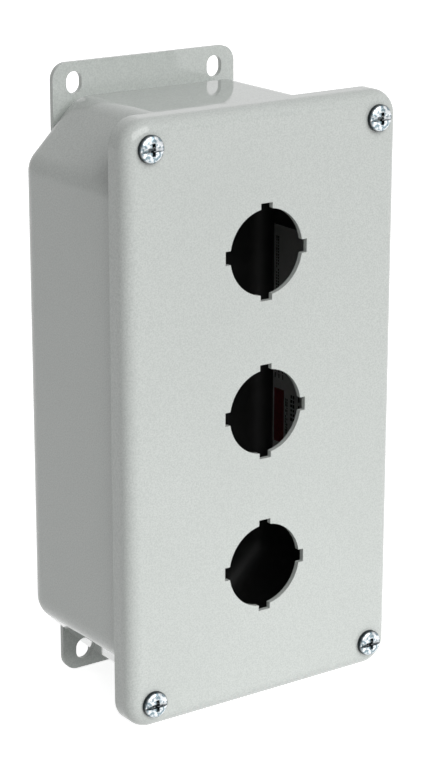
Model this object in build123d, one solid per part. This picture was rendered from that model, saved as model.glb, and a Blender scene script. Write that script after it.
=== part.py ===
from build123d import *
import os
from math import sqrt

# Three-hole push-button enclosure: drawn steel box, pan cover, captive screws and wall strap.
#
# Millimetres.  Each piece is drawn in a panel frame: x to the right, y up and z out from the wall.
# "place" then stands the panel frame against the wall: row X is right, row Z is up, and the front
# faces row -Y.  The origin is the centre of the strap's back face, which lies on the wall.

# Cover: a shallow pan that laps over the front of the box.
cover_width = 114.3
cover_height = 215.9
cover_sheet = 1.9
cover_rim_depth = 10.3
cover_edge_radius = 5.0
cover_corner_radius = 9.5

# Device holes in the cover, one above the other, each with four keying notches.
hole_count = 3
hole_diameter = 30.5
hole_pitch = 57.15
notch_width = 4.85
notch_depth = 1.9

# Box: deep drawn, with clipped corners so that the cover screws pass outside the seal.
total_depth = 76.2
box_sheet = 1.9
rim_clearance = 1.6
nut_to_box = 2.0
back_radius = 9.0
bend_over_back_radius = 1.0

# Wall strap: one flat bar across the back, with a slotted foot at each end.
strap_sheet = 1.9
strap_side_margin = 8.84
strap_end_margin = 7.35
strap_corner_radius = 6.0
foot_reach = 10.85
slot_pitch_across = 60.325
slot_width = 6.35
slot_length = 7.94

# Gasket: closed-cell rubber, stuck inside the cover and pressed on the box's front edge.
gasket_thickness = 2.4
gasket_lap_outside = 0.65
gasket_lap_inside = 5.0
gasket_bend_relief = 0.8
gasket_land = 0.1
seat_gap = 0.1

# Cover screws: number 10, 32 threads to the inch, pan head with a slot and a cross recess.
screw_edge_inset = 9.525
screw_diameter = 4.83
thread_pitch = 25.4 / 32
screw_length = 11.11
screw_hole_clearance = 0.385
head_overhang = 2.385
head_height = 2.6
head_round = 1.4
slot_cut_width = 1.2
slot_cut_depth = 1.0
cross_cut_width = 1.15
cross_cut_length = 4.6
cross_cut_depth = 1.7

# Retainers: nylon rings on the screws that keep them in the cover.
captive_turns = 5
retainer_width = 1.585
retainer_thickness = 0.8
part_gap = 0.3
running_fit = 0.05

# Corner lugs and clinch nuts: what the cover screws thread into.
lug_thickness = 2.5
lug_corner_radius = 6.0
lug_end_trim = 3.0
nut_wall = 0.66
clinch_fit = 0.02
nut_flange_width = 1.145
nut_flange_height = 2.3
nut_shank_inset = 0.1
thread_clearance = 0.1

# Ground terminal: a welded stud on the box's back wall, with a washer and a hexagon nut.
ground_x = -30.0
ground_y = -78.0
stud_diameter = 4.76
stud_length = 9.5
stud_base_width = 1.12
stud_base_height = 0.8
washer_width = 2.87
washer_thickness = 1.0
ground_nut_wall = 2.385
ground_nut_height = 3.2
stud_fit = 0.05

# Label: printed film on the inner right-hand wall.
label_depth = 44.0
label_height = 101.6
label_thickness = 0.2
label_y = -3.0

# Sizes that follow from the ones above.
box_width = cover_width - 2 * (cover_sheet + rim_clearance)
box_height = cover_height - 2 * (cover_sheet + rim_clearance)
box_back = strap_sheet
box_front = total_depth - cover_sheet - gasket_thickness - seat_gap
inner_back = box_back + box_sheet
cover_inside = total_depth - cover_sheet
screw_x = cover_width / 2 - screw_edge_inset
screw_y = cover_height / 2 - screw_edge_inset
captive_travel = captive_turns * thread_pitch
retainer_front = cover_inside - part_gap - captive_travel
retainer_back = retainer_front - retainer_thickness
lug_front = retainer_back - part_gap
lug_back = lug_front - lug_thickness
screw_hole_diameter = screw_diameter + 2 * screw_hole_clearance
head_diameter = screw_diameter + 2 * head_overhang
retainer_diameter = screw_diameter + 2 * retainer_width
clinch_hole_diameter = screw_diameter + 2 * (thread_clearance + nut_wall)
nut_flange_diameter = clinch_hole_diameter + 2 * nut_flange_width
stud_base_diameter = stud_diameter + 2 * stud_base_width
washer_diameter = stud_diameter + 2 * washer_width
ground_nut_width = stud_diameter + 2 * ground_nut_wall
screw_past_box = box_width / 2 - screw_x + box_height / 2 - screw_y
corner_clip = screw_past_box + sqrt(2) * (nut_flange_diameter / 2 + nut_to_box)
clip_blend = back_radius + bend_over_back_radius
gasket_edge_round = min(
    cover_edge_radius - cover_sheet - gasket_bend_relief,
    gasket_thickness - gasket_land,
)
strap_width = slot_pitch_across + 2 * strap_side_margin
strap_height = box_height + 2 * foot_reach
slot_pitch_up = strap_height - 2 * strap_end_margin

corners = {
    "top_left": (-1, 1),
    "top_right": (1, 1),
    "bottom_left": (-1, -1),
    "bottom_right": (1, -1),
}


def slab(outline, low, high):
    """A flat outline made solid between two heights above the wall."""
    return Pos(0, 0, low) * extrude(outline, high - low)


def rod(diameter, low, high, x=0.0, y=0.0):
    """A round bar that stands straight out from the wall."""
    return slab(Pos(x, y) * Circle(diameter / 2), low, high)


def edges_at(solid, height):
    """The edges that lie flat at one height above the wall."""
    return solid.edges().filter_by_position(Axis.Z, height - 0.01, height + 0.01)


def clipped_outline():
    """The box's outer section: a rectangle with clipped corners and rounded bends."""
    x = box_width / 2
    y = box_height / 2
    x_clip = x - corner_clip
    y_clip = y - corner_clip
    right = [(x_clip, -y), (x, -y_clip), (x, y_clip), (x_clip, y)]
    left = [(-x_clip, y), (-x, y_clip), (-x, -y_clip), (-x_clip, -y)]
    face = make_face(Polyline(*right, *left, close=True))
    return fillet(face.vertices(), clip_blend)


def box_shell():
    """The drawn box: an open-fronted shell with rounded back edges."""
    outer = slab(clipped_outline(), box_back, box_front)
    outer = fillet(edges_at(outer, box_back), back_radius)
    inner = slab(offset(clipped_outline(), -box_sheet), inner_back, box_front + 1)
    inner = fillet(edges_at(inner, inner_back), back_radius - box_sheet)
    return outer - inner


def mounting_strap():
    """The flat bar behind the box, with a slotted foot above and below it."""
    outline = RectangleRounded(strap_width, strap_height, strap_corner_radius)
    slot = SlotOverall(slot_length, slot_width, rotation=90)
    outline -= [spot * slot for spot in GridLocations(slot_pitch_across, slot_pitch_up, 2, 2)]
    return slab(outline, 0, strap_sheet)


def corner_lug(side, rise):
    """A plate welded across one clipped corner, flush with the box's straight walls."""
    leg = corner_clip - lug_end_trim
    region = Pos(side * (box_width - leg) / 2, rise * (box_height - leg) / 2) * Rectangle(leg, leg)
    outline = RectangleRounded(box_width, box_height, lug_corner_radius) & region
    outline -= clipped_outline()
    outline -= Pos(side * screw_x, rise * screw_y) * Circle(clinch_hole_diameter / 2)
    return slab(outline, lug_back, lug_front)


def clinch_nut(side, rise):
    """A round nut pressed into the back of a corner lug."""
    x = side * screw_x
    y = rise * screw_y
    shank = rod(clinch_hole_diameter - 2 * clinch_fit, lug_back, lug_front - nut_shank_inset, x, y)
    flange = rod(nut_flange_diameter, lug_back - nut_flange_height, lug_back, x, y)
    bore = rod(screw_diameter + 2 * thread_clearance, lug_back - nut_flange_height - 1, lug_front, x, y)
    return shank + flange - bore


def device_hole():
    """A round device hole with a notch at each quarter."""
    reach = hole_diameter + 2 * notch_depth
    return Circle(hole_diameter / 2) + Rectangle(notch_width, reach) + Rectangle(reach, notch_width)


def cover():
    """The pan cover, with its device holes and screw holes."""
    rim = total_depth - cover_rim_depth
    outline = RectangleRounded(cover_width, cover_height, cover_corner_radius)
    outer = slab(outline, rim, total_depth)
    outer = fillet(edges_at(outer, total_depth), cover_edge_radius)
    inner = slab(offset(outline, -cover_sheet), rim - 1, cover_inside)
    inner = fillet(edges_at(inner, cover_inside), cover_edge_radius - cover_sheet)
    holes = Sketch() + [spot * device_hole() for spot in GridLocations(0, hole_pitch, 1, hole_count)]
    corner_spots = GridLocations(2 * screw_x, 2 * screw_y, 2, 2)
    holes += [spot * Circle(screw_hole_diameter / 2) for spot in corner_spots]
    return outer - inner - slab(holes, rim, total_depth + 1)


def cover_gasket():
    """The flat seal ring, eased where it lies in the cover's bend."""
    back = cover_inside - gasket_thickness
    ring = slab(offset(clipped_outline(), gasket_lap_outside), back, cover_inside)
    ring = fillet(edges_at(ring, cover_inside), gasket_edge_round)
    window = offset(clipped_outline(), -box_sheet - gasket_lap_inside)
    return ring - slab(window, back - 1, cover_inside + 1)


def cover_screw(side, rise):
    """A pan-head machine screw with a slot and a cross recess."""
    seat = total_depth + seat_gap
    top = seat + head_height
    head = rod(head_diameter, seat, top)
    head = fillet(edges_at(head, top), head_round)
    recess = slab(Rectangle(head_diameter + 1, slot_cut_width), top - slot_cut_depth, top + 1)
    cross = Rectangle(cross_cut_length, cross_cut_width) + Rectangle(cross_cut_width, cross_cut_length)
    recess += slab(cross, top - cross_cut_depth, top + 1)
    shank = rod(screw_diameter, total_depth - screw_length, seat)
    return Pos(side * screw_x, rise * screw_y) * (head + shank - recess)


def screw_retainer(side, rise):
    """The nylon ring that travels with a screw and stops it leaving the cover."""
    x = side * screw_x
    y = rise * screw_y
    ring = rod(retainer_diameter, retainer_back, retainer_front, x, y)
    return ring - rod(screw_diameter + 2 * running_fit, retainer_back - 1, retainer_front + 1, x, y)


def ground_stud():
    """The welded earth stud, with its weld flange."""
    base = rod(stud_base_diameter, inner_back, inner_back + stud_base_height, ground_x, ground_y)
    return base + rod(stud_diameter, inner_back, inner_back + stud_length, ground_x, ground_y)


def ground_washer():
    """The washer on the earth stud."""
    low = inner_back + stud_base_height
    high = low + washer_thickness
    ring = rod(washer_diameter, low, high, ground_x, ground_y)
    return ring - rod(stud_diameter + 2 * stud_fit, low - 1, high + 1, ground_x, ground_y)


def ground_nut():
    """The hexagon nut on the earth stud."""
    low = inner_back + stud_base_height + washer_thickness
    high = low + ground_nut_height
    hexagon = RegularPolygon(ground_nut_width / sqrt(3), 6)
    body = slab(Pos(ground_x, ground_y) * hexagon, low, high)
    return body - rod(stud_diameter + 2 * stud_fit, low - 1, high + 1, ground_x, ground_y)


def inside_label():
    """A thin printed label on the flat of the inner right-hand wall."""
    wall = box_width / 2 - box_sheet
    high = inner_back + back_radius - box_sheet
    film = Box(label_thickness, label_height, label_depth)
    return Pos(wall - label_thickness / 2, label_y, high + label_depth / 2) * film


def all_pieces():
    """Every piece of the enclosure by name, in the panel frame."""
    pieces = {
        "box_shell": box_shell(),
        "mounting_strap": mounting_strap(),
        "cover": cover(),
        "cover_gasket": cover_gasket(),
        "ground_stud": ground_stud(),
        "ground_washer": ground_washer(),
        "ground_nut": ground_nut(),
        "inside_label": inside_label(),
    }
    for name, (side, rise) in corners.items():
        pieces["corner_lug_" + name] = corner_lug(side, rise)
        pieces["clinch_nut_" + name] = clinch_nut(side, rise)
        pieces["cover_screw_" + name] = cover_screw(side, rise)
        pieces["screw_retainer_" + name] = screw_retainer(side, rise)
    return pieces


def place(piece):
    """Stand a piece against the wall: panel x, y, z become row X, Z and -Y."""
    return Plane.XZ * piece


os.makedirs("parts", exist_ok=True)
for node, piece in all_pieces().items():
    export_step(place(piece), "parts/" + node + ".step")
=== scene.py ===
import math

import bmesh
import bpy
from mathutils import Matrix, Vector


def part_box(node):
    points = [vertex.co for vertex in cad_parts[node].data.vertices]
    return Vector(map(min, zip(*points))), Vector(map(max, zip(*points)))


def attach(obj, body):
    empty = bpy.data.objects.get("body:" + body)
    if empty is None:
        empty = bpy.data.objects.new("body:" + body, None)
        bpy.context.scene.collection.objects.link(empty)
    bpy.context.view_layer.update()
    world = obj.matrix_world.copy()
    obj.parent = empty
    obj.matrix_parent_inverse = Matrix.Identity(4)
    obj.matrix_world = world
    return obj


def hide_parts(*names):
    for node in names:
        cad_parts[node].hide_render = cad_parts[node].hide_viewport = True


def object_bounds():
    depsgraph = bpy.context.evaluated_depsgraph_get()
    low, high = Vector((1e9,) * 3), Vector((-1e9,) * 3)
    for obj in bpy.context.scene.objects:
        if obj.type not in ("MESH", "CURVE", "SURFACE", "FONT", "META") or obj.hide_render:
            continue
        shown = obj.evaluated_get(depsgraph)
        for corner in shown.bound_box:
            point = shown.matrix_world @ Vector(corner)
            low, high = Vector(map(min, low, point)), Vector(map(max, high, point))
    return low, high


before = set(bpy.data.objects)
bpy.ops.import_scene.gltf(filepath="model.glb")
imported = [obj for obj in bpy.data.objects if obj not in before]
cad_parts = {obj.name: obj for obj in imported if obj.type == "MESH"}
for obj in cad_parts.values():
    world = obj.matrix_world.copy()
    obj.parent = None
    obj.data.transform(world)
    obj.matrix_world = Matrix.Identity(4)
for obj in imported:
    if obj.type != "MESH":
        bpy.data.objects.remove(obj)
cad_low, cad_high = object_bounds()

# Mounting strap: one flat bar of 1.9 mm steel behind the box, with a slotted foot showing above
# and below it.  It is blanked, spot-welded to the box's back and enamelled together with it, so
# its enamel is the one that every outside face of the enclosure has.
enamel_light = (0.622, 0.652, 0.628, 1)
enamel_deep = (0.598, 0.628, 0.604, 1)
enamel_grain = (0.505, 0.535, 0.515, 1)
enamel_worn = (0.42, 0.44, 0.43, 1)


def shader(name):
    """A new material, with its nodes, its link maker and its Principled shader."""
    material = bpy.data.materials.new(name)
    material.use_nodes = True
    tree = material.node_tree
    return material, tree.nodes, tree.links.new, tree.nodes["Principled BSDF"]


def feed(join, value, socket):
    """Link a socket, or set a plain number or colour on it."""
    if isinstance(value, bpy.types.NodeSocket):
        join(value, socket)
    else:
        socket.default_value = value


def sums(nodes, join, operation, first, second=0.0):
    """One step of arithmetic on two numbers."""
    node = nodes.new("ShaderNodeMath")
    node.operation = operation
    feed(join, first, node.inputs[0])
    feed(join, second, node.inputs[1])
    return node.outputs[0]


def turn_into(nodes, join, value, low, high, new_low, new_high):
    """Carry a number from one range to another, held at the ends."""
    node = nodes.new("ShaderNodeMapRange")
    join(value, node.inputs[0])
    for socket, number in zip(node.inputs[1:5], (low, high, new_low, new_high)):
        socket.default_value = number
    return node.outputs[0]


def cloud(nodes, join, scale, detail=2.0, stretch=(1, 1, 1), place=None):
    """Soft noise on the piece's own coordinates, in blobs per metre."""
    if place is None:
        place = nodes.new("ShaderNodeTexCoord").outputs["Object"]
    mapping = nodes.new("ShaderNodeMapping")
    mapping.inputs["Scale"].default_value = stretch
    join(place, mapping.inputs["Vector"])
    node = nodes.new("ShaderNodeTexNoise")
    node.inputs["Scale"].default_value = scale
    node.inputs["Detail"].default_value = detail
    join(mapping.outputs[0], node.inputs["Vector"])
    return node.outputs[0]


def patchy(nodes, join, scale, detail, low, high):
    """A cloud spread over a range of values and held at its ends."""
    return turn_into(nodes, join, cloud(nodes, join, scale, detail), 0.35, 0.65, low, high)


def mixed(nodes, join, share, first, second):
    """Two colours mixed by a share from 0 to 1."""
    node = nodes.new("ShaderNodeMix")
    node.data_type = "RGBA"
    feed(join, share, node.inputs[0])
    feed(join, first, node.inputs[6])
    feed(join, second, node.inputs[7])
    return node.outputs[2]


def bumped(nodes, join, height, distance, strength, under=None):
    """A bump in metres, laid over another normal where one is given."""
    node = nodes.new("ShaderNodeBump")
    node.inputs["Strength"].default_value = strength
    node.inputs["Distance"].default_value = distance
    join(height, node.inputs["Height"])
    if under is not None:
        join(under, node.inputs["Normal"])
    return node.outputs[0]


def eased_edges(nodes, join, radius, samples=4):
    """The normal of edges rounded by a coat of paint or plate, and how much each is an edge."""
    bevel = nodes.new("ShaderNodeBevel")
    bevel.samples = samples
    bevel.inputs["Radius"].default_value = radius
    geometry = nodes.new("ShaderNodeNewGeometry")
    dot = nodes.new("ShaderNodeVectorMath")
    dot.operation = "DOT_PRODUCT"
    join(bevel.outputs[0], dot.inputs[0])
    join(geometry.outputs["Normal"], dot.inputs[1])
    return bevel.outputs[0], turn_into(nodes, join, dot.outputs["Value"], 0.90, 0.995, 1.0, 0.0)


def enamel(name, inside=None):
    """Gloss baked enamel with an orange-peel skin; inside gives a centre, and faces that look towards
    it get near-black painted shade.
    """
    material, nodes, join, paint = shader(name)
    drift = patchy(nodes, join, 14, 3, 0.0, 1.0)
    colour = mixed(nodes, join, drift, enamel_deep, enamel_light)
    grain = turn_into(nodes, join, cloud(nodes, join, 1900, 2), 0.36, 0.66, 0.0, 0.9)
    colour = mixed(nodes, join, grain, colour, enamel_grain)
    rounded, edge = eased_edges(nodes, join, 0.00028)
    patches = turn_into(nodes, join, cloud(nodes, join, 160, 4), 0.45, 0.60, 0.0, 0.30)
    colour = mixed(nodes, join, sums(nodes, join, "MULTIPLY", edge, patches), colour, enamel_worn)
    gloss = patchy(nodes, join, 70, 3, 0.03, 0.07)
    if inside is not None:
        # Painted shade: faces that look towards the centre are coloured near-black, standing for the
        # shade inside the box.
        place = nodes.new("ShaderNodeTexCoord").outputs["Object"]
        away = nodes.new("ShaderNodeVectorMath")
        away.operation = "SUBTRACT"
        join(place, away.inputs[0])
        away.inputs[1].default_value = inside
        facing = nodes.new("ShaderNodeVectorMath")
        facing.operation = "DOT_PRODUCT"
        join(away.outputs[0], facing.inputs[0])
        join(nodes.new("ShaderNodeNewGeometry").outputs["Normal"], facing.inputs[1])
        inside_shade_mask = turn_into(nodes, join, facing.outputs["Value"], -0.0004, -0.0002, 1.0, 0.0)
        mottle = patchy(nodes, join, 120, 3, 0.0, 1.0)
        charcoal = mixed(nodes, join, mottle, (0.030, 0.031, 0.031, 1), (0.042, 0.043, 0.042, 1))
        colour = mixed(nodes, join, inside_shade_mask, colour, charcoal)
        gloss = sums(nodes, join, "ADD", gloss, sums(nodes, join, "MULTIPLY", inside_shade_mask, 0.5))
    join(colour, paint.inputs["Base Color"])
    join(gloss, paint.inputs["Roughness"])
    paint.inputs["IOR"].default_value = 1.5
    waves = bumped(nodes, join, cloud(nodes, join, 38, 2), 0.0008, 0.035, rounded)
    peel = bumped(nodes, join, cloud(nodes, join, 900, 1), 0.00006, 0.12, waves)
    join(peel, paint.inputs["Normal"])
    return material


def coat(node, material):
    """Give a carried-over CAD node its finish."""
    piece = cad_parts[node]
    for slot in piece.material_slots:
        slot.material = material
    if not piece.material_slots:
        piece.data.materials.append(material)


outside_enamel = enamel("grey_enamel_outside")
coat("mounting_strap", outside_enamel)


# Box: drawn from 1.9 mm steel sheet, with rounded back edges and clipped corners.  It is grey
# enamel outside; inside it is painted near-black, as painted shade for the dark inside of the box.
box_sheet = 0.0019
box_low, box_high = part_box("box_shell")
box_centre = tuple((box_low + box_high) / 2)
coat("box_shell", enamel("grey_enamel_box_shaded_inside", inside=box_centre))


# Weld marks: the strap is spot-welded through the box's back, which leaves two rows of shallow
# rings on the inside, each a flat dimple with a raised lip, under the coat of paint.
weld_radius = 0.0029
weld_lip = 0.00018
weld_foot = -0.0002
weld_rows = 7
weld_pitch_up = 0.026
weld_pitch_across = 0.060


def turned(name, profile, sides=64, ring=False):
    """A lathe-turned mesh about the outward axis, from (radius, height) pairs in metres."""
    shape = bmesh.new()
    loops = []
    for radius, height in profile:
        if radius < 1e-7:
            loops.append([shape.verts.new((0, 0, height))])
            continue
        angles = [2 * math.pi * k / sides for k in range(sides)]
        loops.append(
            [shape.verts.new((radius * math.cos(a), radius * math.sin(a), height)) for a in angles]
        )
    followers = loops[1:] + (loops[:1] if ring else [])
    for low, high in zip(loops, followers):
        for k in range(sides):
            n = (k + 1) % sides
            if len(low) == 1:
                shape.faces.new((low[0], high[k], high[n]))
            elif len(high) == 1:
                shape.faces.new((low[k], high[0], low[n]))
            else:
                shape.faces.new((low[k], high[k], high[n], low[n]))
    bmesh.ops.recalc_face_normals(shape, faces=shape.faces)
    mesh = bpy.data.meshes.new(name)
    shape.to_mesh(mesh)
    shape.free()
    return mesh


class Tree:
    """A Geometry Nodes tree with named size inputs, filled one step at a time."""

    def __init__(self, name, **inputs):
        self.group = bpy.data.node_groups.new(name, "GeometryNodeTree")
        interface = self.group.interface
        interface.new_socket("Geometry", in_out="INPUT", socket_type="NodeSocketGeometry")
        for label, kind in inputs.items():
            kind = "NodeSocket" + kind
            interface.new_socket(label, in_out="INPUT", socket_type=kind)
        interface.new_socket("Geometry", in_out="OUTPUT", socket_type="NodeSocketGeometry")
        self.start = self.group.nodes.new("NodeGroupInput")
        self.end = self.group.nodes.new("NodeGroupOutput")

    def given(self, label):
        """One of the tree's named inputs."""
        return self.start.outputs[label]

    def add(self, kind, links=(), out=0, **settings):
        """Add one node, link or set its inputs by name or number, and return an output."""
        node = self.group.nodes.new(kind)
        for key, value in settings.items():
            setattr(node, key, value)
        for key, value in dict(links).items():
            sources = value if isinstance(value, list) else [value]
            for source in sources:
                feed(self.group.links.new, source, node.inputs[key])
        return node.outputs[out]

    def finish(self, geometry, place=None, turn=(math.pi / 2, 0, 0)):
        """Turn the shape to face the front, move it, realise it and set its finish."""
        place = self.given("Place") if place is None else place
        moved = self.add(
            "GeometryNodeTransform", {0: geometry, "Translation": place, "Rotation": turn}
        )
        whole = self.add("GeometryNodeRealizeInstances", {0: moved})
        finished = self.add("GeometryNodeSetMaterial", {0: whole, "Material": self.given("Finish")})
        self.group.links.new(finished, self.end.inputs[0])
        return self


def placed(name, mesh):
    """A new object in the scene, at the origin and unturned."""
    piece = bpy.data.objects.new(name, mesh)
    bpy.context.scene.collection.objects.link(piece)
    return piece


def grown(name, tree, mesh, **values):
    """Run a tree on a base mesh, keep the result as a plain piece and drop the modifier."""
    host = placed(name + "_base", mesh)
    modifier = host.modifiers.new("grow", "NODES")
    modifier.node_group = tree.group
    for item in tree.group.interface.items_tree:
        if item.item_type == "SOCKET" and item.in_out == "INPUT" and item.name in values:
            modifier[item.identifier] = values[item.name]
    bpy.context.view_layer.update()
    graph = bpy.context.evaluated_depsgraph_get()
    result = bpy.data.meshes.new_from_object(host.evaluated_get(graph), depsgraph=graph)
    bpy.data.objects.remove(host)
    result.name = name
    result.shade_smooth()
    result.set_sharp_from_angle(angle=math.radians(32))
    return placed(name, result)


# A centre this far in front makes every face that looks forward take the near-black painted shade.
inside_shade_centre = (0, -10, 0)
inside_shade_paint = enamel("charcoal_painted_shade", inside=inside_shade_centre)
marks = Tree("weld_marks", Across="Float", Up="Float", Rows="Int", Depth="Float", Finish="Material")
spots = marks.add(
    "GeometryNodeMeshGrid",
    {
        "Size X": marks.given("Across"),
        "Size Y": marks.given("Up"),
        "Vertices X": 2,
        "Vertices Y": marks.given("Rows"),
    },
)
copies = marks.add(
    "GeometryNodeInstanceOnPoints", {"Points": spots, "Instance": marks.given("Geometry")}
)
lift = marks.add("ShaderNodeCombineXYZ", {"Y": marks.given("Depth")})
marks.finish(copies, place=lift)
dimple = turned(
    "dimple",
    [
        (0, weld_foot),
        (weld_radius, weld_foot),
        (weld_radius, 0.0),
        (weld_radius * 0.93, weld_lip * 0.8),
        (weld_radius * 0.86, weld_lip),
        (weld_radius * 0.78, weld_lip * 0.7),
        (weld_radius * 0.70, weld_lip * 0.2),
        (0, weld_lip * 0.12),
    ],
    sides=28,
)
# The weld marks inside the box take its near-black painted shade.
weld_marks = grown(
    "weld_marks",
    marks,
    dimple,
    Across=weld_pitch_across,
    Up=weld_pitch_up * (weld_rows - 1),
    Rows=weld_rows,
    Depth=box_high.y - box_sheet,
    Finish=inside_shade_paint,
)
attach(weld_marks, "box")


# Corner lugs: 2.5 mm plates welded across the clipped corners of the box.  They take the clinch
# nuts and are enamelled with the box.
corners = {
    "top_left": (-1, 1),
    "top_right": (1, 1),
    "bottom_left": (-1, -1),
    "bottom_right": (1, -1),
}
for corner in corners:
    coat("corner_lug_" + corner, outside_enamel)


# Lug welds: a short bead of weld runs along the back of each lug where it meets the box's
# clipped face.  Each bead is a row of overlapping ripples, painted over.
lug_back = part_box("corner_lug_top_right")[1].y
screw_low, screw_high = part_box("cover_screw_top_right")
screw_x = (screw_low.x + screw_high.x) / 2
screw_z = (screw_low.z + screw_high.z) / 2
corner_clip = 0.020988
clip_line = box_high.x + box_high.z - corner_clip
bead_length = 0.0135
bead_ripples = 15
bead_radius = 0.00075
bead_rise = 0.0001
ripple = bpy.data.meshes.new("ripple")
blob = bmesh.new()
bmesh.ops.create_icosphere(blob, subdivisions=2, radius=bead_radius)
blob.to_mesh(ripple)
blob.free()
bead = Tree("lug_weld", Length="Float", Count="Int", Place="Vector", Turn="Float", Finish="Material")
half = bead.add("ShaderNodeMath", {0: bead.given("Length"), 1: -0.5}, operation="MULTIPLY")
begin = bead.add("ShaderNodeCombineXYZ", {"X": half})
finish_at = bead.add("ShaderNodeVectorMath", {0: begin, "Scale": -1.0}, operation="SCALE")
row = bead.add(
    "GeometryNodeMeshLine",
    {"Count": bead.given("Count"), "Start Location": begin, "Offset": finish_at},
    mode="END_POINTS",
)
wobble = bead.add(
    "FunctionNodeRandomValue", {"Min": (0.8, 0.85, 0.8), "Max": (1.15, 1.1, 1.1), "Seed": 4},
    data_type="FLOAT_VECTOR",
)
ripples = bead.add(
    "GeometryNodeInstanceOnPoints",
    {"Points": row, "Instance": bead.given("Geometry"), "Scale": wobble},
)
bead_turn = bead.add("ShaderNodeCombineXYZ", {"Y": bead.given("Turn")})
bead.finish(ripples, turn=bead_turn)
for corner, (side, rise) in corners.items():
    reach = clip_line / 2
    slide_off = (screw_x - screw_z) / 2
    bead_middle = (side * (reach + slide_off), lug_back + bead_rise, rise * (reach - slide_off))
    weld = grown(
        "lug_weld_" + corner,
        bead,
        ripple,
        Length=bead_length,
        Count=bead_ripples,
        Place=bead_middle,
        Turn=math.radians(45) * side * rise,
        Finish=outside_enamel,
    )
    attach(weld, "box")


# Clinch nuts: zinc-plated steel nuts pressed into the backs of the lugs.  Each has a knurled
# flange and a number 10 thread, 32 to the inch, right through it.
nut_low, nut_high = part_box("clinch_nut_top_right")
nut_radius = (nut_high.x - nut_low.x) / 2
nut_bore = 0.002515
nut_shank = 0.003155
flange_height = 0.0023
shank_height = 0.0024
bore_ease = 0.00025
nut_turns = 5.2
thread_pitch = 0.0254 / 32


def zinc(name, turned_head=False):
    """Bright zinc plate with faint machining lines; a turned head gets painted shade down its sides,
    in its recess and at its rim, and dark blue patches.
    """
    material, nodes, join, plate = shader(name)
    pools = patchy(nodes, join, 420, 4, 0.0, 1.0)
    colour = mixed(nodes, join, pools, (0.66, 0.69, 0.72, 1), (0.86, 0.88, 0.89, 1))
    rough = patchy(nodes, join, 900, 3, 0.16, 0.30)
    lines = cloud(nodes, join, 1500, 2, stretch=(1, 12, 1))
    if turned_head:
        spot = nodes.new("ShaderNodeAttribute")
        spot.attribute_name = "turned_place"
        parts = nodes.new("ShaderNodeSeparateXYZ")
        join(spot.outputs["Vector"], parts.inputs[0])
        across, up, out = parts.outputs
        square = sums(
            nodes, join, "ADD",
            sums(nodes, join, "MULTIPLY", across, across),
            sums(nodes, join, "MULTIPLY", up, up),
        )
        radius = sums(nodes, join, "SQRT", square)
        lines = cloud(nodes, join, 1, 1, place=radius, stretch=(9000, 9000, 9000))
        # Dark blue patches on the head: partly the blue tint of the plating, partly painted
        # reflection of dark surroundings.
        tint_and_reflection_swirls = cloud(nodes, join, 760, 2, place=spot.outputs["Vector"])
        tint_and_reflection_swirls = turn_into(nodes, join, tint_and_reflection_swirls, 0.42, 0.58, 0.0, 0.85)
        colour = mixed(nodes, join, tint_and_reflection_swirls, colour, (0.12, 0.20, 0.24, 1))
        # Painted shade: the head's side walls, the floor of its slot and cross recess, and a ring at
        # the crown's rim are darkened to near-black.
        normal = nodes.new("ShaderNodeSeparateXYZ")
        join(nodes.new("ShaderNodeNewGeometry").outputs["Normal"], normal.inputs[0])
        flat = sums(nodes, join, "ABSOLUTE", normal.outputs[1])
        wall = turn_into(nodes, join, flat, 0.30, 0.80, 0.97, 0.0)
        above = turn_into(nodes, join, out, -0.0002, 0.0, 0.0, 1.0)
        deep = turn_into(nodes, join, out, 0.0012, 0.0017, 0.80, 0.0)
        inner = turn_into(nodes, join, radius, 0.0038, 0.0042, 1.0, 0.0)
        painted_head_shade = sums(nodes, join, "MAXIMUM", wall, sums(nodes, join, "MULTIPLY", deep, inner))
        rim = turn_into(nodes, join, radius, 0.00415, 0.0046, 0.0, 0.80)
        painted_head_shade = sums(nodes, join, "MAXIMUM", painted_head_shade, rim)
        painted_head_shade = sums(nodes, join, "MULTIPLY", painted_head_shade, above)
        colour = mixed(nodes, join, painted_head_shade, colour, (0.016, 0.022, 0.025, 1))
        rough = sums(nodes, join, "ADD", rough, sums(nodes, join, "MULTIPLY", painted_head_shade, 0.2))
    join(colour, plate.inputs["Base Color"])
    join(rough, plate.inputs["Roughness"])
    plate.inputs["Metallic"].default_value = 1.0
    rounded, edge = eased_edges(nodes, join, 0.00012)
    join(bumped(nodes, join, lines, 0.00003, 0.35, rounded), plate.inputs["Normal"])
    return material


def thread(tree, radius, pitch, low, turns, depth=0.00045, per_turn=40):
    """A V thread as a diamond section that winds round the outward axis."""
    length = tree.add("ShaderNodeMath", {0: pitch, 1: turns}, operation="MULTIPLY")
    spiral = tree.add(
        "GeometryNodeCurveSpiral",
        {
            "Resolution": per_turn,
            "Rotations": turns,
            "Start Radius": radius,
            "End Radius": radius,
            "Height": length,
        },
    )
    spiral = tree.add("GeometryNodeSetCurveNormal", {0: spiral}, mode="Z_UP")
    section = tree.add("GeometryNodeCurvePrimitiveCircle", {"Resolution": 4, "Radius": depth})
    wound = tree.add(
        "GeometryNodeCurveToMesh", {"Curve": spiral, "Profile Curve": section, "Fill Caps": True}
    )
    rise = tree.add("ShaderNodeCombineXYZ", {"Z": low})
    return tree.add("GeometryNodeTransform", {0: wound, "Translation": rise})


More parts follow.
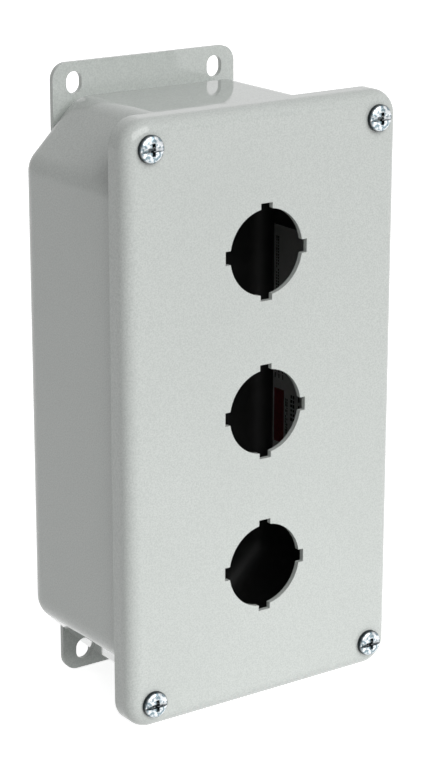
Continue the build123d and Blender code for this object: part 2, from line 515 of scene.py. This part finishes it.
def knurl(tree, radius, height, middle, count, width=0.0005):
    """Small upright ridges round a rim."""
    rim = tree.add("GeometryNodeMeshCircle", {"Vertices": count, "Radius": radius})
    ridge = tree.add("GeometryNodeMeshCube", {"Size": (width, width, height)})
    ridge = tree.add("GeometryNodeTransform", {0: ridge, "Rotation": (0, 0, math.pi / 4)})
    outward = tree.add("GeometryNodeInputPosition")
    turn = tree.add("FunctionNodeAlignRotationToVector", {"Vector": outward}, axis="X")
    ridges = tree.add(
        "GeometryNodeInstanceOnPoints", {"Points": rim, "Instance": ridge, "Rotation": turn}
    )
    rise = tree.add("ShaderNodeCombineXYZ", {"Z": middle})
    return tree.add("GeometryNodeTransform", {0: ridges, "Translation": rise})


zinc_plate = zinc("zinc_plate_plain")
nuts = Tree(
    "clinch_nuts", Across="Float", Up="Float", Back="Float", Bore="Float", Pitch="Float",
    Flange="Float", Finish="Material",
)
thread_start = 0.0002 - flange_height
inner_thread = thread(
    nuts, nuts.given("Bore"), nuts.given("Pitch"), thread_start, nut_turns, depth=0.00018
)
teeth = knurl(nuts, nuts.given("Flange"), 0.0016, -0.0012, 40)
one_nut = nuts.add("GeometryNodeJoinGeometry", {0: [nuts.given("Geometry"), inner_thread, teeth]})
grid = nuts.add(
    "GeometryNodeMeshGrid",
    {"Size X": nuts.given("Across"), "Size Y": nuts.given("Up"), "Vertices X": 2, "Vertices Y": 2},
)
four = nuts.add("GeometryNodeInstanceOnPoints", {"Points": grid, "Instance": one_nut})
back_off = nuts.add("ShaderNodeCombineXYZ", {"Y": nuts.given("Back")})
nuts.finish(four, place=back_off)
nut_mesh = turned(
    "nut",
    [
        (nut_bore + bore_ease, -flange_height),
        (nut_radius - 0.0006, -flange_height),
        (nut_radius - 0.00035, thread_start),
        (nut_radius - 0.00035, -0.0002),
        (nut_radius - 0.00045, 0.0),
        (nut_shank, 0.0),
        (nut_shank, shank_height - 0.0001),
        (nut_shank - 0.0002, shank_height),
        (nut_bore + bore_ease, shank_height),
        (nut_bore, shank_height - 0.0002),
        (nut_bore, thread_start),
    ],
    sides=80,
    ring=True,
)
clinch_nuts = grown(
    "clinch_nuts",
    nuts,
    nut_mesh,
    Across=2 * screw_x,
    Up=2 * screw_z,
    Back=lug_back,
    Bore=nut_bore,
    Pitch=thread_pitch,
    Flange=nut_radius - 0.0004,
    Finish=zinc_plate,
)
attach(clinch_nuts, "box")
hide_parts(*["clinch_nut_" + corner for corner in corners])


# Earth terminal: a threaded stud welded inside the box's back, with a toothed washer that bites
# through the paint and a chamfered hexagon nut.  All three are zinc-plated steel.
stud_low, stud_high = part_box("ground_stud")
washer_low, washer_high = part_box("ground_washer")
hex_low, hex_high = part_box("ground_nut")
stud_x = (stud_low.x + stud_high.x) / 2
stud_z = (stud_low.z + stud_high.z) / 2
stud_radius = 0.00238
stud_base = (stud_high.x - stud_low.x) / 2
stud_length = stud_high.y - stud_low.y
stud_turns = 9.4
stud_collar = 0.0014
stud_mesh = turned(
    "stud",
    [
        (0, 0),
        (stud_base, 0),
        (stud_base, 0.00045),
        (stud_base - 0.0003, 0.00078),
        (stud_radius - 0.0003, 0.0008),
        (stud_radius - 0.0003, stud_length - 0.0006),
        (stud_radius - 0.0009, stud_length),
        (0, stud_length),
    ],
)
terminal = Tree("earth_stud", Radius="Float", Pitch="Float", Place="Vector", Finish="Material")
stud_thread = thread(
    terminal, terminal.given("Radius"), terminal.given("Pitch"), stud_collar, stud_turns
)
stud_whole = terminal.add("GeometryNodeJoinGeometry", {0: [terminal.given("Geometry"), stud_thread]})
terminal.finish(stud_whole)
earth_stud = grown(
    "earth_stud",
    terminal,
    stud_mesh,
    Radius=stud_radius - 0.00045,
    Pitch=thread_pitch,
    Place=(stud_x, stud_high.y, stud_z),
    Finish=zinc_plate,
)
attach(earth_stud, "box")
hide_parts("ground_stud")

washer_radius = (washer_high.x - washer_low.x) / 2
washer_thick = washer_high.y - washer_low.y
washer_mesh = turned(
    "washer",
    [
        (stud_radius + 0.0001, 0.0001),
        (washer_radius - 0.0016, 0.0001),
        (washer_radius - 0.0014, 0.0003),
        (washer_radius - 0.0014, washer_thick - 0.0003),
        (washer_radius - 0.0016, washer_thick - 0.0001),
        (stud_radius + 0.0001, washer_thick - 0.0001),
    ],
    ring=True,
)
toothed = Tree("earth_washer", Rim="Float", Teeth="Int", Place="Vector", Finish="Material")
tooth_spots = toothed.add(
    "GeometryNodeMeshCircle", {"Vertices": toothed.given("Teeth"), "Radius": toothed.given("Rim")}
)
tooth = toothed.add("GeometryNodeMeshCube", {"Size": (0.0021, 0.00135, 0.00045)})
tooth = toothed.add("GeometryNodeTransform", {0: tooth, "Rotation": (math.radians(22), 0, 0)})
outward = toothed.add("GeometryNodeInputPosition")
tooth_turn = toothed.add("FunctionNodeAlignRotationToVector", {"Vector": outward}, axis="X")
crown = toothed.add(
    "GeometryNodeInstanceOnPoints", {"Points": tooth_spots, "Instance": tooth, "Rotation": tooth_turn}
)
crown = toothed.add("GeometryNodeTransform", {0: crown, "Translation": (0, 0, washer_thick / 2)})
washer_whole = toothed.add("GeometryNodeJoinGeometry", {0: [toothed.given("Geometry"), crown]})
toothed.finish(washer_whole)
earth_washer = grown(
    "earth_washer",
    toothed,
    washer_mesh,
    Rim=washer_radius - 0.00115,
    Teeth=14,
    Place=(stud_x, washer_high.y, stud_z),
    Finish=zinc_plate,
)
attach(earth_washer, "box")
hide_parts("ground_washer")

hex_height = hex_high.y - hex_low.y
hex_corner = (hex_high.x - hex_low.x) / 2
hex_flat = hex_corner * math.cos(math.pi / 6)
hexagon = bmesh.new()
bmesh.ops.create_cone(
    hexagon, cap_ends=True, segments=6, radius1=hex_corner, radius2=hex_corner, depth=hex_height
)
hex_mesh = bpy.data.meshes.new("hexagon")
bmesh.ops.translate(hexagon, verts=hexagon.verts, vec=(0, 0, hex_height / 2))
hexagon.verts.ensure_lookup_table()
corner_angle = math.atan2(hexagon.verts[0].co.y, hexagon.verts[0].co.x)
bmesh.ops.rotate(hexagon, verts=hexagon.verts, matrix=Matrix.Rotation(-corner_angle, 3, "Z"))
hexagon.to_mesh(hex_mesh)
hexagon.free()
chamfer = turned(
    "chamfer",
    [
        (stud_radius + 0.0003, 0),
        (hex_flat, 0),
        (hex_corner + 0.00005, 0.0005),
        (hex_corner + 0.00005, hex_height - 0.0005),
        (hex_flat, hex_height),
        (stud_radius + 0.0003, hex_height),
        (stud_radius + 0.00005, hex_height - 0.0003),
        (stud_radius + 0.00005, 0.0003),
    ],
    sides=72,
    ring=True,
)
chamfer_tool = placed("chamfer_tool", chamfer)
faced = Tree("earth_nut", Envelope="Object", Place="Vector", Finish="Material")
envelope = faced.add("GeometryNodeObjectInfo", {"Object": faced.given("Envelope")}, out="Geometry")
cut = faced.add(
    "GeometryNodeMeshBoolean",
    {"Mesh 2": [faced.given("Geometry"), envelope]},
    operation="INTERSECT",
    solver="EXACT",
)
faced.finish(cut)
earth_nut = grown(
    "earth_nut",
    faced,
    hex_mesh,
    Envelope=chamfer_tool,
    Place=(stud_x, hex_high.y, stud_z),
    Finish=zinc_plate,
)
bpy.data.objects.remove(chamfer_tool)
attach(earth_nut, "box")
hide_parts("ground_nut")


# Inside label: a printed film stuck to the right-hand wall.  The film is the CAD piece; the
# print on it is columns of plain bars in place of words, and one dark red block.
label_low, label_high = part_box("inside_label")
film, nodes, join, paper = shader("label_film")
aged = patchy(nodes, join, 60, 4, 0.0, 1.0)
film_colour = mixed(nodes, join, aged, (0.70, 0.70, 0.69, 1), (0.80, 0.80, 0.79, 1))
join(film_colour, paper.inputs["Base Color"])
join(patchy(nodes, join, 300, 2, 0.42, 0.55), paper.inputs["Roughness"])
join(bumped(nodes, join, cloud(nodes, join, 500, 2), 0.00004, 0.3), paper.inputs["Normal"])
coat("inside_label", film)


def ink(name, dark, light):
    """Printing ink, a little uneven where it was laid."""
    material, nodes, join, print_ink = shader(name)
    patch = patchy(nodes, join, 900, 2, 0.0, 1.0)
    join(mixed(nodes, join, patch, dark, light), print_ink.inputs["Base Color"])
    print_ink.inputs["Roughness"].default_value = 0.5
    return material


black_ink = ink("black_ink", (0.012, 0.012, 0.012, 1), (0.03, 0.03, 0.03, 1))
red_ink = ink("red_ink", (0.20, 0.028, 0.028, 1), (0.28, 0.045, 0.045, 1))
printing = Tree(
    "label_print", Columns="Int", Words="Int", Column_Pitch="Float", Word_Pitch="Float",
    Stroke="Float", Letter="Float", Place="Vector", Seed="Int", Finish="Material",
)
unit = printing.add(
    "GeometryNodeMeshGrid",
    {
        "Size X": printing.given("Stroke"),
        "Size Y": printing.given("Letter"),
        "Vertices X": 2,
        "Vertices Y": 2,
    },
)
spans = []
for count, pitch in (("Columns", "Column_Pitch"), ("Words", "Word_Pitch")):
    gaps = printing.add("ShaderNodeMath", {0: printing.given(count), 1: 1.0}, operation="SUBTRACT")
    spans.append(
        printing.add("ShaderNodeMath", {0: gaps, 1: printing.given(pitch)}, operation="MULTIPLY")
    )
lattice = printing.add(
    "GeometryNodeMeshGrid",
    {
        "Size X": spans[0],
        "Size Y": spans[1],
        "Vertices X": printing.given("Columns"),
        "Vertices Y": printing.given("Words"),
    },
)
left_out = printing.add(
    "FunctionNodeRandomValue", {"Probability": 0.12, "Seed": printing.given("Seed")},
    data_type="BOOLEAN", out=3,
)
lattice = printing.add("GeometryNodeDeleteGeometry", {0: lattice, "Selection": left_out})
word = printing.add(
    "FunctionNodeRandomValue",
    {"Min": (0.7, 0.5, 1), "Max": (1, 1.0, 1), "Seed": printing.given("Seed")},
    data_type="FLOAT_VECTOR",
)
words = printing.add(
    "GeometryNodeInstanceOnPoints", {"Points": lattice, "Instance": unit, "Scale": word}
)
printing.finish(words, turn=(math.pi / 2, 0, -math.pi / 2))
print_lift = 0.00003
block_lift = 0.00002
label_face = label_low.x - print_lift

# Each group of print: columns, words in each, its distance forward of the label's back edge, the
# height of its top, the pitch of columns and of words, and the thickness and length of a word.
print_groups = [
    (2, 19, 0.0018, 0.0430, 0.0011, 0.00115, 0.00075, 0.0010),
    (4, 2, 0.0014, -0.0090, 0.0024, 0.0022, 0.0007, 0.0019),
    (2, 13, 0.0082, -0.0195, 0.0009, 0.0011, 0.0006, 0.0010),
    (2, 6, 0.0118, -0.0175, 0.0014, 0.0018, 0.0011, 0.0014),
    (7, 26, 0.0165, 0.0400, 0.0036, 0.0032, 0.0008, 0.0026),
]
sheet_of_print = bmesh.new()
for seed, group in enumerate(print_groups):
    columns, words, forward, top, column_pitch, word_pitch, stroke, letter = group
    middle_y = label_high.y - forward - column_pitch * (columns - 1) / 2
    middle_z = top - word_pitch * (words - 1) / 2
    part = grown(
        "print_group",
        printing,
        bpy.data.meshes.new("empty"),
        Columns=columns,
        Words=words,
        Column_Pitch=column_pitch,
        Word_Pitch=word_pitch,
        Stroke=stroke,
        Letter=letter,
        Place=(label_face, middle_y, middle_z),
        Seed=seed + 3,
        Finish=black_ink,
    )
    sheet_of_print.from_mesh(part.data)
    bpy.data.objects.remove(part)
print_mesh = bpy.data.meshes.new("label_print")
sheet_of_print.to_mesh(print_mesh)
sheet_of_print.free()
print_mesh.materials.append(black_ink)
label_print = placed("label_print", print_mesh)
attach(label_print, "box")
block_back, block_front = -0.0119, -0.0179
block_foot, block_top = -0.0375, -0.0162
block = bmesh.new()
outline = [
    (block_front, block_foot),
    (block_back, block_foot),
    (block_back, block_top),
    (block_front, block_top),
]
block.faces.new([block.verts.new((label_face - block_lift, y, z)) for y, z in outline])
bmesh.ops.recalc_face_normals(block, faces=block.faces)
if list(block.faces)[0].normal.x > 0:
    bmesh.ops.reverse_faces(block, faces=block.faces)
bmesh.ops.subdivide_edges(block, edges=block.edges, cuts=3, use_grid_fill=True)
block_mesh = bpy.data.meshes.new("label_block")
block.to_mesh(block_mesh)
block.free()
label_block = placed("label_block", block_mesh)
block_mesh.materials.append(red_ink)
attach(label_block, "box")


# Gasket: a die-cut ring of closed-cell rubber, stuck inside the cover.  The cells show as fine
# pits on its cut faces.
rubber, nodes, join, skin = shader("black_rubber")
cells = nodes.new("ShaderNodeTexVoronoi")
cells.inputs["Scale"].default_value = 2600
join(nodes.new("ShaderNodeTexCoord").outputs["Object"], cells.inputs["Vector"])
pits = turn_into(nodes, join, cells.outputs["Distance"], 0.0, 0.5, 0.0, 1.0)
rubber_colour = mixed(nodes, join, pits, (0.012, 0.012, 0.012, 1), (0.035, 0.035, 0.034, 1))
join(rubber_colour, skin.inputs["Base Color"])
join(patchy(nodes, join, 200, 2, 0.7, 0.85), skin.inputs["Roughness"])
join(bumped(nodes, join, pits, 0.0001, 0.6), skin.inputs["Normal"])
coat("cover_gasket", rubber)


# Cover: a shallow pan pressed from 1.9 mm steel, with three notched device holes punched in its
# face.  It is enamelled all over, cut edges included.
coat("cover", outside_enamel)


# Retainers: natural nylon rings pushed on the screws from behind, so that the screws stay in the
# cover.  Each ring has eased edges and grip ribs round its rim.
ring_low, ring_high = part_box("screw_retainer_top_right")
ring_radius = (ring_high.x - ring_low.x) / 2
ring_thick = ring_high.y - ring_low.y
ring_bore = 0.00248
ring_ease = 0.0001
nylon, nodes, join, plastic = shader("nylon")
milky = patchy(nodes, join, 500, 3, 0.0, 1.0)
nylon_colour = mixed(nodes, join, milky, (0.70, 0.68, 0.60, 1), (0.80, 0.78, 0.71, 1))
join(nylon_colour, plastic.inputs["Base Color"])
join(turn_into(nodes, join, milky, 0.0, 1.0, 0.32, 0.45), plastic.inputs["Roughness"])
plastic.inputs["Subsurface Weight"].default_value = 0.2
plastic.inputs["Subsurface Scale"].default_value = 0.001
ring_mesh = turned(
    "ring",
    [
        (ring_bore, ring_ease),
        (ring_bore + ring_ease, 0.0),
        (ring_radius - 0.0004, 0.0),
        (ring_radius - 0.0002, 0.0002),
        (ring_radius - 0.0002, ring_thick - 0.0002),
        (ring_radius - 0.0004, ring_thick),
        (ring_bore + ring_ease, ring_thick),
        (ring_bore, ring_thick - ring_ease),
    ],
    sides=72,
    ring=True,
)
ribbed = Tree("retainer", Rim="Float", Place="Vector", Finish="Material")
ribs = knurl(ribbed, ribbed.given("Rim"), ring_thick * 0.8, ring_thick / 2, 24, width=0.0004)
ring_whole = ribbed.add("GeometryNodeJoinGeometry", {0: [ribbed.given("Geometry"), ribs]})
ribbed.finish(ring_whole)
for corner, (side, rise) in corners.items():
    retainer = grown(
        "retaining_ring_" + corner,
        ribbed,
        ring_mesh.copy(),
        Rim=ring_radius - 0.00029,
        Place=(side * screw_x, ring_high.y, rise * screw_z),
        Finish=nylon,
    )
    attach(retainer, "retainer_" + corner)
    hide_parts("screw_retainer_" + corner)


# Cover screws: number 10 pan heads in bright zinc, headed cold, with a straight slot and a cross
# recess struck in the crown, and a rolled thread, 32 to the inch.
seat_gap = 0.0001
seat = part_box("cover")[0].y - seat_gap
shank_length = screw_high.y - seat
slot_width = 0.0016
slot_run = 0.0110
slot_floor = 0.0015
slot_roof = 0.0037
core_radius = 0.00197
screw_turns = 11.6

# Radius and height of each ring of the screw, from its tip up over the crown of its head.
screw_profile = [
    (0, -shank_length),
    (core_radius - 0.0006, -shank_length),
    (core_radius, -shank_length + 0.0007),
    (core_radius, -0.0008),
    (0.00225, -0.0006),
    (0.0023, 0.0),
    (0.00466, 0.0),
    (0.00476, 0.0001),
    (0.00479, 0.0003),
    (0.00479, 0.0011),
    (0.00473, 0.0014),
    (0.00455, 0.00170),
    (0.00424, 0.00196),
    (0.00380, 0.00218),
    (0.00320, 0.00236),
    (0.00250, 0.00248),
    (0.00170, 0.00256),
    (0.00085, 0.00259),
    (0, 0.0026),
]
screw_mesh = turned("screw", screw_profile, sides=96)
cross_mouth = {"long": 0.0056, "wide": 0.0015, "height": 0.0034}
cross_bottom = {"long": 0.0020, "wide": 0.0010, "height": 0.0007}
cross = bmesh.new()
for across in (True, False):
    wing = bmesh.ops.create_cube(cross, size=1.0)["verts"]
    for vert in wing:
        level = cross_mouth if vert.co.z > 0 else cross_bottom
        vert.co.z = level["height"]
        vert.co.x *= level["long"] if across else level["wide"]
        vert.co.y *= level["wide"] if across else level["long"]
cross_mesh = bpy.data.meshes.new("cross_punch")
cross.to_mesh(cross_mesh)
cross.free()
cross_punch = placed("cross_punch", cross_mesh)
struck = Tree(
    "cover_screw", Punch="Object", Slot_Width="Float", Core="Float", Pitch="Float", Tip="Float",
    Place="Vector", Finish="Material",
)
slot_size = struck.add(
    "ShaderNodeCombineXYZ",
    {"X": slot_run, "Y": struck.given("Slot_Width"), "Z": slot_roof - slot_floor},
)
slot_punch = struck.add("GeometryNodeMeshCube", {"Size": slot_size})
slot_punch = struck.add(
    "GeometryNodeTransform",
    {0: slot_punch, "Translation": (0, 0, (slot_floor + slot_roof) / 2)},
)
punch = struck.add("GeometryNodeObjectInfo", {"Object": struck.given("Punch")}, out="Geometry")
headed = struck.given("Geometry")
for tool in (slot_punch, punch):
    headed = struck.add(
        "GeometryNodeMeshBoolean",
        {"Mesh 1": headed, "Mesh 2": tool, "Self Intersection": True},
        operation="DIFFERENCE",
        solver="EXACT",
    )
rolled = thread(
    struck,
    struck.given("Core"),
    struck.given("Pitch"),
    struck.given("Tip"),
    screw_turns,
    depth=0.0004,
)
whole_screw = struck.add("GeometryNodeJoinGeometry", {0: [headed, rolled]})
here = struck.add("GeometryNodeInputPosition")
whole_screw = struck.add(
    "GeometryNodeStoreNamedAttribute",
    {0: whole_screw, "Name": "turned_place", "Value": here},
    data_type="FLOAT_VECTOR",
)
struck.finish(whole_screw)
# The screw heads carry painted shade on their sides, in their recesses and at their rims.
head_zinc = zinc("zinc_plate_turned_painted_shade", turned_head=True)
for corner, (side, rise) in corners.items():
    screw = grown(
        "pan_head_screw_" + corner,
        struck,
        screw_mesh.copy(),
        Punch=cross_punch,
        Slot_Width=slot_width,
        Core=core_radius,
        Pitch=thread_pitch,
        Tip=-shank_length + 0.0009,
        Place=(side * screw_x, seat, rise * screw_z),
        Finish=head_zinc,
    )
    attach(screw, "screw_" + corner)
    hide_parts("cover_screw_" + corner)
bpy.data.objects.remove(cross_punch)


# Stage: a plain pale floor just under the lower foot, a white surround and three soft lamps.  The
# floor and the surround show white to the eye and in reflections, and light the object less.
floor_gap = 0.0004
floor_glow = 0.84
surround_light = 0.185
floor_level = cad_low.z - floor_gap
floor_mesh = bpy.data.meshes.new("floor")
floor_mesh.from_pydata(
    [(-6, -6, floor_level), (6, -6, floor_level), (6, 6, floor_level), (-6, 6, floor_level)],
    [],
    [(0, 1, 2, 3)],
)
floor = placed("floor", floor_mesh)
floor_paint = bpy.data.materials.new("pale_floor")
floor_paint.use_nodes = True
nodes, join = floor_paint.node_tree.nodes, floor_paint.node_tree.links.new
nodes.clear()
paint = nodes.new("ShaderNodeBsdfDiffuse")
paint.inputs["Color"].default_value = (0.80, 0.80, 0.80, 1)
glow = nodes.new("ShaderNodeEmission")
seen = nodes.new("ShaderNodeLightPath")
shown = sums(nodes, join, "MAXIMUM", seen.outputs["Is Camera Ray"], seen.outputs["Is Glossy Ray"])
shown = sums(nodes, join, "MAXIMUM", shown, seen.outputs["Is Transmission Ray"])
join(sums(nodes, join, "MULTIPLY", shown, floor_glow), glow.inputs["Strength"])
both = nodes.new("ShaderNodeAddShader")
join(paint.outputs[0], both.inputs[0])
join(glow.outputs[0], both.inputs[1])
join(both.outputs[0], nodes.new("ShaderNodeOutputMaterial").inputs["Surface"])
floor_mesh.materials.append(floor_paint)

world = bpy.data.worlds.new("surround")
bpy.context.scene.world = world
world.use_nodes = True
nodes, join = world.node_tree.nodes, world.node_tree.links.new
nodes.clear()
seen = nodes.new("ShaderNodeLightPath")
shown = sums(nodes, join, "MAXIMUM", seen.outputs["Is Camera Ray"], seen.outputs["Is Glossy Ray"])
shown = sums(nodes, join, "MAXIMUM", shown, seen.outputs["Is Transmission Ray"])
sky = nodes.new("ShaderNodeBackground")
sky.inputs["Color"].default_value = (1, 1, 1, 1)
join(turn_into(nodes, join, shown, 0.0, 1.0, surround_light, 1.0), sky.inputs["Strength"])
join(sky.outputs[0], nodes.new("ShaderNodeOutputWorld").inputs["Surface"])


def lamp(name, place, aim, power, wide, high):
    """A soft rectangular lamp."""
    light = bpy.data.lights.new(name, "AREA")
    light.shape = "RECTANGLE"
    light.size, light.size_y = wide, high
    light.energy = power
    lamp_object = placed(name, light)
    lamp_object.location = place
    lamp_object.rotation_euler = (Vector(aim) - Vector(place)).to_track_quat("-Z", "Y").to_euler()
    return lamp_object


middle = (cad_low + cad_high) / 2
lamp("key", (0.05, -2.00, 1.40), middle, 47.0, 2.6, 1.8)
back = lamp("back", (0.70, 1.70, 1.10), middle, 10.0, 1.4, 1.0)
back.visible_glossy = False
fill_aim = Vector((0, cad_low.y, cad_low.z))
fill = lamp("fill", (0.10, -0.62, -0.075), fill_aim, 0.055, 0.30, 0.08)
fill.data.spread = math.radians(40)
fill.visible_glossy = False

# Camera: a long lens that looks at the enclosure from its left and from a little above.
target = Vector((-0.0022, -0.0462, 0.0018))
azimuth, elevation, distance = math.radians(-35.03), math.radians(17.09), 0.860
away = Vector(
    (
        math.sin(azimuth) * math.cos(elevation),
        -math.cos(azimuth) * math.cos(elevation),
        math.sin(elevation),
    )
)
camera_data = bpy.data.cameras.new("camera")
camera_data.sensor_width = 36.0
camera_data.lens = 111.9
camera_data.clip_start, camera_data.clip_end = 0.05, 50.0
camera = placed("camera", camera_data)
camera.location = target + away * distance
camera.rotation_mode = "QUATERNION"
camera.rotation_quaternion = (-away).to_track_quat("-Z", "Y")
bpy.context.scene.camera = camera
bpy.context.scene.view_settings.view_transform = "Standard"
